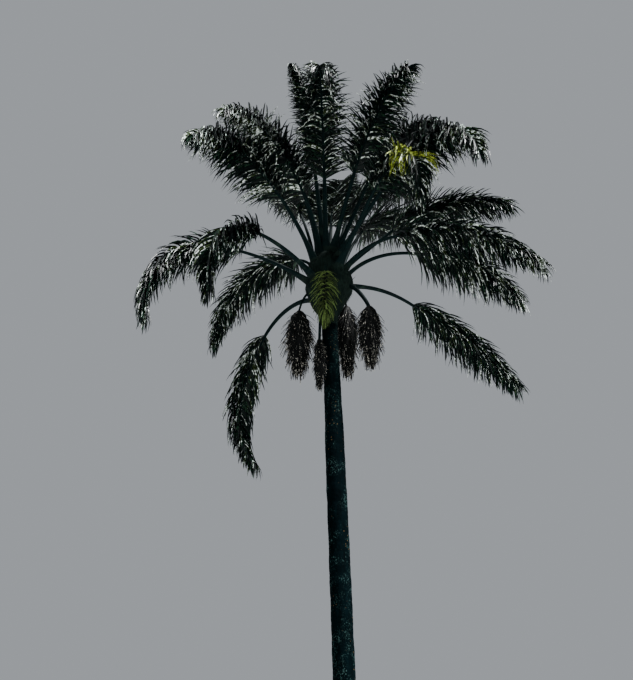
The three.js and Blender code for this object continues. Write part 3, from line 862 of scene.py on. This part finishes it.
class PALM_OT_heart(bpy.types.Operator):
    """Makes the heart of leaf bases, the closed spear leaf and the fibres between the bases"""

    bl_idname = "palm.heart"
    bl_label = "Heart"

    # A leaf base's middle below its frond's foot, its half height, its half angle, how much wider it grows
    # below its foot and how far down, and how far it stands out.
    base_drop, base_half, base_angle, base_growth, growth_drop, base_depth = 0.12, 0.26, 0.36, 0.5, 0.3, 0.045
    # How fine the mesh is and how far it goes on inside the trunk, then the fibres on a square metre, their
    # width and their shape.
    around, along, hidden = 120, 220, 0.05
    fibre_density, fibre_width, fibre_fold, fibre_bow = 260.0, 0.006, 0.05, 1.5

    def execute(self, context):
        """Raises a leaf base below each frond's foot on the heart's outline, and strews the fibres."""
        fronds = context.scene.palm_fronds
        heights = np.linspace(HEART_OUTLINE[0][0] - self.hidden, HEART_OUTLINE[-1][0], self.along)
        turn = ring_angles(self.around)
        radius = outline_radius(HEART_OUTLINE, heights)[:, None] * np.ones(self.around)[None, :]
        for number, frond in enumerate(FRONDS):
            gap = np.abs((turn - math.radians(frond.facing) + math.pi) % (2 * math.pi) - math.pi)
            below = foot_height(number) - heights
            tall = np.clip(1 - np.abs(below - self.base_drop) / self.base_half, 0, 1)
            angle = self.base_angle + self.base_growth * np.clip(below, 0, self.growth_drop)[:, None]
            wide = np.clip(1 - (gap / angle) ** 2, 0, 1)
            radius = radius + self.base_depth * np.sqrt(tall)[:, None] * np.sqrt(wide)
        x = np.cos(turn)[None, :] * radius + axis_x(heights)[:, None]
        y = np.sin(turn)[None, :] * radius
        z = np.repeat(heights[:, None], self.around, axis=1)
        vertices = np.stack([x, y, z], -1).reshape(-1, 3)
        faces = ring_faces(self.along, self.around)
        slots = [int(vertices[face[0]][2] > SPEAR_START) for face in faces]
        sheath = sheath_material(fronds)
        spear = leaf_material("spear_leaf", fronds.mid, 0.4)
        piece = new_object("leaf_bases", vertices, faces, [sheath, spear], slots)
        settle(piece, "sheath", "leaf_base_heart")

        ground = [face for face in faces[:-2] if vertices[face[0]][2] < FIBRE_LIMIT]
        base = new_object("fibre_ground", vertices, ground)
        fibre = blade_object("fibre_shape", FIBRE_STATIONS, self.fibre_fold, self.fibre_bow)
        values = {"Fibre": fibre, "Density": self.fibre_density, "Width": self.fibre_width,
                  "Seed": fronds.seed, "Fibre material": sheath}
        fibres = run_tree("leaf_base_fibres", fibre_tree(), base, values)
        settle(fibres, "sheath", "leaf_base_heart")
        drop(fibre)
        return {"FINISHED"}


class PALM_OT_ribs(bpy.types.Operator):
    """Makes the fronds' stalks and ribs, from their broad sheaths to their thin ends"""

    bl_idname = "palm.ribs"
    bl_label = "Ribs"

    # The share of a rib that broadens towards its foot, and the share that has the leaf bases' finish. How
    # much it broadens there and how fast, and how thick it is against its width, at most and at its foot.
    broad_share, sheath_share = 0.14, 0.035
    foot_growth, foot_power, thickness, foot_thickness = 1.3, 1.4, 0.72, 0.47
    around, stations = 12, 64

    def execute(self, context):
        """Sweeps a flattened ring along each frond's course."""
        fronds = context.scene.palm_fronds
        vertices, faces, slots, nodes = [], [], [], []
        for number in range(len(FRONDS)):
            course = Course(number, self.stations)
            broad = np.clip(1 - course.share / self.broad_share, 0, 1)
            width = course.radius * (1 + self.foot_growth * broad ** self.foot_power)
            height = course.radius * (self.thickness + (self.foot_thickness - self.thickness) * broad)
            start = len(vertices)
            vertices += list(tube_rings(course.place, course.side, course.up, width, height, self.around))
            made = ring_faces(self.stations, self.around, start)
            faces += made
            sheathed = course.share < self.sheath_share
            slots += [int(sheathed[(face[0] - start) // self.around]) for face in made]
            nodes += frond_nodes(number)
        materials = [stalk_material(fronds), bpy.data.materials["leaf_base_fibre"]]
        piece = new_object("frond_ribs", vertices, faces, materials, slots)
        settle(piece, "frond", *nodes)
        return {"FINISHED"}


class PALM_OT_leaflets(bpy.types.Operator):
    """Makes the plumes of leaflets, in groups of fronds"""

    bl_idname = "palm.leaflets"
    bl_label = "Leaflets"

    # The pieces, from the lowest fronds to the highest, and how many fronds each one has.
    names = ("leaflets_lowest", "leaflets_low", "leaflets_high", "leaflets_highest")
    group = 6
    # The planes that the leaflets stand in, how much they close up at the end, and their own shape.
    lowest_plane, plane_step, planes = math.radians(-32), math.radians(23), 4
    closing, fold, bow = 0.4, 0.07, 2.3

    def execute(self, context):
        """Grows leaflets in several planes along every rib."""
        look = context.scene.palm_fronds
        leaflet = blade_object("leaflet_shape", LEAFLET_STATIONS, self.fold, self.bow)
        tree = spray_tree()
        values = {
            "Blade": leaflet, "Count": look.leaflets, "First length": look.start_length,
            "Full length": look.full_length, "Last length": look.end_length, "Width": look.width,
            "Forward angle": look.forward, "Closing at the end": look.forward * self.closing,
            "Lowest slope": self.lowest_plane, "Slope step": self.plane_step, "Planes": self.planes,
            "Sag": look.sag, "Unevenness": look.jitter, "Roll": look.roll, "Mid share": look.mid_share,
            "Glint share": look.glint_share, "Shorter": look.shorter, "Glint ones narrower": look.narrower,
            "Dark material": leaf_material("leaflet_dark", look.dark, 0.4),
            "Mid material": leaf_material("leaflet_mid", look.mid, 0.34, look.dark),
            "Glint material": leaf_material("leaflet_painted_glint", look.light, 0.28, look.olive),
            "Painted sunlight material": leaf_material("leaflet_painted_sunlight", look.pale, 0.42, scaled(look.pale, 0.3)),
        }
        for order, name in enumerate(self.names):
            numbers = range(order * self.group, (order + 1) * self.group)
            guide = guide_lines("rib_guides", [self.line(number) for number in numbers])
            values["Seed"] = look.seed + 100 * order
            piece = run_tree(name, tree, guide, values, smooth=False)
            nodes = [node for number in numbers for node in frond_nodes(number)]
            settle(piece, "frond", *[node for node in nodes if not node.endswith("_stalk")])
        drop(leaflet)
        return {"FINISHED"}

    @staticmethod
    def line(number):
        """The leafy stretch of one frond, as a guide."""
        stations = 101
        course = Course(number, stations)
        leafy = course.leafy > 0
        share = course.leafy[leafy]
        bright, pale = np.zeros(share.shape), np.zeros(share.shape)
        for frond, begin, end, glint_more, sunlit_more in PAINTED_LIGHT_STRETCHES:
            within = (number == frond) & (share > begin) & (share <= end)
            bright += glint_more * within
            pale += sunlit_more * within
        return {
            "place": course.place[leafy],
            "heading": course.heading[leafy],
            "side": course.side[leafy],
            "share": share,
            "pale": pale,
            "bright": bright,
            "plume": np.full(share.shape, float(course.frond.plume)),
        }


# The strands of the fresh cluster and of the dark ones: their planes, their ways and how their colours are
# dealt out. Their length is a share of the cluster's width.
FRESH_STRANDS = {
    "Lowest slope": math.radians(-40), "Slope step": math.radians(30), "Planes": 5,
    "Forward angle": math.radians(95), "Closing at the end": math.radians(70),
    "Unevenness": math.radians(6), "Sag": 0.8, "Shorter": 0.0, "Mid share": 0.4,
}
DARK_STRANDS = {
    "Lowest slope": math.radians(-80), "Slope step": math.radians(23), "Planes": 8,
    "Forward angle": math.radians(74), "Closing at the end": math.radians(40),
    "Unevenness": math.radians(14), "Sag": 0.7, "Shorter": 0.3, "Mid share": 0.6,
}
ALL_STRANDS = {"Width": 0.22, "Roll": math.radians(10), "Glint share": 0.1}
FRESH_LENGTH, DARK_LENGTH = 0.48, 0.7
FRESH_THICKNESS, DARK_THICKNESS = 0.07, 0.06


class PALM_OT_clusters(bpy.types.Operator):
    """Makes the fresh flower cluster, the dark fruit clusters and their stalks"""

    bl_idname = "palm.clusters"
    bl_label = "Clusters"

    # How much lighter the fresh cluster's light strands are, as painted sun glints, and how thin a stalk's
    # end is against its foot.
    fresh_light, stalk_taper = 3.4, 0.55
    # How long the first and last strands are against the longest, where they begin on a cluster's height, and
    # the share of it that they grow on, fresh and dark.
    first_length, last_length, first_share, fresh_stretch, dark_stretch = 0.85, 0.9, 0.05, 0.72, 0.75
    # A core's width against its cluster's, fresh and dark, how it swells, and how far down it reaches.
    fresh_core, dark_core, core_power, core_fill, core_reach = 0.10, 0.64, 0.85, 0.6, 0.9
    # How deep its lumps are, and how fine.
    lump_depth, lump_scale = 0.35, 16

    def execute(self, context):
        """Hangs strands all round the lower end of every stalk."""
        look = context.scene.palm_clusters
        tree = bpy.data.node_groups.get("sprays_along_a_rib") or spray_tree()
        fruit = strand_material("fruit_strand", look.fruit)
        glint_spots = strand_material("strand_painted_glint", look.glint_spots, look.fruit)
        flower = strand_material("flower_strand", look.flower)
        # The fresh cluster's lighter strands are painted sun glints.
        bright = strand_material("flower_strand_painted_glint", scaled(look.flower, self.fresh_light))
        dark_strand = strand_object("fruit_shape", DARK_THICKNESS)
        fresh_strand = strand_object("flower_shape", FRESH_THICKNESS)
        fresh_kind = (FRESH_STRANDS, fresh_strand, look.flower_strands, FRESH_LENGTH, flower, bright)
        dark_kind = (DARK_STRANDS, dark_strand, look.strands, DARK_LENGTH, fruit, glint_spots)
        for cluster in CLUSTERS:
            kind, blade, count, share, most, others = fresh_kind if self.is_fresh(cluster) else dark_kind
            length = cluster.width * share
            values = {
                **ALL_STRANDS, **kind, "Blade": blade, "Count": count,
                "Seed": look.seed + round(cluster.width * 100),
                "First length": length * self.first_length, "Full length": length,
                "Last length": length * self.last_length,
                "Dark material": most, "Mid material": others, "Glint material": others,
                "Painted sunlight material": others,
            }
            guide = guide_lines("cluster_guide", [self.line(cluster)])
            piece = run_tree(f"{cluster.node}_strands", tree, guide, values)
            settle(piece, self.finish(cluster), cluster.node)
        drop(dark_strand)
        drop(fresh_strand)
        self.cores(fruit)
        self.stalks(stalk_material(context.scene.palm_fronds))
        return {"FINISHED"}

    @staticmethod
    def is_fresh(cluster):
        """Whether a cluster is in flower."""
        return cluster.node.startswith("flower")

    def finish(self, cluster):
        """The material slot of a cluster."""
        return "flower" if self.is_fresh(cluster) else "fruit"

    def line(self, cluster):
        """The hanging stretch of a cluster, as a guide."""
        place = stalk_places(cluster)[-1]
        count = 12
        stretch = self.fresh_stretch if self.is_fresh(cluster) else self.dark_stretch
        share = np.linspace(0, 1, count)
        heights = cluster.top - (cluster.top - cluster.low) * (self.first_share + stretch * share)
        angle = math.radians(cluster.facing)
        return {
            "place": np.stack([np.full(count, place[0]), np.full(count, place[1]), heights], -1),
            "heading": np.tile([0.0, 0.0, -1.0], (count, 1)),
            "side": np.tile([math.sin(angle), -math.cos(angle), 0.0], (count, 1)),
            "share": share,
            "pale": np.zeros(count),
            "bright": np.zeros(count),
            "plume": np.ones(count),
        }

    def cores(self, material):
        """The dense lumpy middle of every cluster."""
        rings, around, end = 26, 22, 0.01
        for cluster in CLUSTERS:
            broad = self.fresh_core if self.is_fresh(cluster) else self.dark_core
            hang = stalk_places(cluster)[-1]
            share = np.linspace(end, 1 - end, rings)
            reach = cluster.width / 2 * broad * np.sin(math.pi * share ** self.core_power) ** self.core_fill
            vertices = []
            for t, radius in zip(share, reach):
                z = cluster.top + (cluster.low - cluster.top) * t * self.core_reach
                for angle in ring_angles(around):
                    spot = Vector((math.cos(angle) * radius, math.sin(angle) * radius, z))
                    lump = 1 + self.lump_depth * noise.noise(spot * self.lump_scale)
                    vertices.append((hang[0] + spot.x * lump, hang[1] + spot.y * lump, z))
            piece = new_object(f"{cluster.node}_core", vertices, ring_faces(rings, around), [material])
            settle(piece, self.finish(cluster), cluster.node)

    def stalks(self, material):
        """One piece of all the clusters' stalks."""
        around = 10
        vertices, faces = [], []
        for cluster in CLUSTERS:
            place = stalk_places(cluster)
            side, up = line_frames(place)
            radius = np.linspace(cluster.stalk, cluster.stalk * self.stalk_taper, len(place))
            start = len(vertices)
            vertices += list(tube_rings(place, side, up, radius, radius, around))
            faces += ring_faces(len(place), around, start)
        piece = new_object("cluster_stalks", vertices, faces, [material])
        settle(piece, "fruit", *[cluster.node for cluster in CLUSTERS])


class PALM_OT_stage(bpy.types.Operator):
    """Makes the floor, the lights and the camera"""

    bl_idname = "palm.stage"
    bl_label = "Stage"

    # Half the floor's width, how far it lies below the trunk's cut, and how far the sun is from overhead.
    floor_half, floor_drop = 60.0, 0.003
    sun_lean, sun_turn = math.radians(14), math.radians(24)

    def execute(self, context):
        """Sets a pale floor, a soft high sun with light from all round, and the photograph's camera."""
        look = context.scene.palm_stage
        scene = context.scene
        half, below = self.floor_half, -self.floor_drop
        corners = [(-half, -half, below), (half, -half, below), (half, half, below), (-half, half, below)]
        floor = new_object("floor", corners, [(0, 1, 2, 3)])
        paint = Shader("pale_floor", roughness=0.8)
        paint.colour((*look.floor, 1))
        floor.data.materials.append(paint.material)

        sun = bpy.data.lights.new("key", "SUN")
        sun.energy = look.key
        sun.angle = look.softness
        put("key", sun).rotation_euler = (self.sun_lean, self.sun_turn, 0)

        scene.world = bpy.data.worlds.new("surround")
        scene.world.use_nodes = True
        sky = scene.world.node_tree.nodes["Background"]
        sky.inputs["Color"].default_value = (*look.sky, 1)
        sky.inputs["Strength"].default_value = look.surround

        lens = bpy.data.cameras.new("photo_camera")
        lens.lens = look.lens
        lens.clip_end = 500
        scene.camera = put("photo_camera", lens)
        scene.camera.location = look.eye
        scene.camera.rotation_euler = (math.pi / 2 + look.tilt, 0, 0)
        return {"FINISHED"}


class PALM_PT_panel(bpy.types.Panel):
    """Lists the steps and sizes in the sidebar"""

    bl_idname = "PALM_PT_panel"
    bl_label = "Feather palm"
    bl_space_type = "VIEW_3D"
    bl_region_type = "UI"
    bl_category = "Palm"

    def draw(self, context):
        """One button for each step, then the settings."""
        for step in STEPS:
            self.layout.operator(step.bl_idname)
        for name in SETTINGS:
            box = self.layout.box()
            settings = getattr(context.scene, name)
            for key in settings.__annotations__:
                box.prop(settings, key)


SETTINGS = {
    "palm_trunk": TrunkSettings,
    "palm_fronds": FrondSettings,
    "palm_clusters": ClusterSettings,
    "palm_stage": StageSettings,
}
STEPS = (PALM_OT_stage, PALM_OT_trunk, PALM_OT_heart, PALM_OT_ribs, PALM_OT_leaflets, PALM_OT_clusters)


def register():
    """Registers the settings, the steps and the panel."""
    for name, kind in SETTINGS.items():
        bpy.utils.register_class(kind)
        setattr(bpy.types.Scene, name, PointerProperty(type=kind))
    for kind in (*STEPS, PALM_PT_panel):
        bpy.utils.register_class(kind)


def unregister():
    """Takes everything back out."""
    for kind in (PALM_PT_panel, *reversed(STEPS)):
        bpy.utils.unregister_class(kind)
    for name, kind in SETTINGS.items():
        delattr(bpy.types.Scene, name)
        bpy.utils.unregister_class(kind)


def main():
    """Builds the palm and its stage."""
    register()
    bpy.ops.palm.stage()
    bpy.ops.palm.trunk()
    bpy.ops.palm.heart()
    bpy.ops.palm.ribs()
    bpy.ops.palm.leaflets()
    bpy.ops.palm.clusters()
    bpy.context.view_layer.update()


if __name__ == "__main__":
    main()
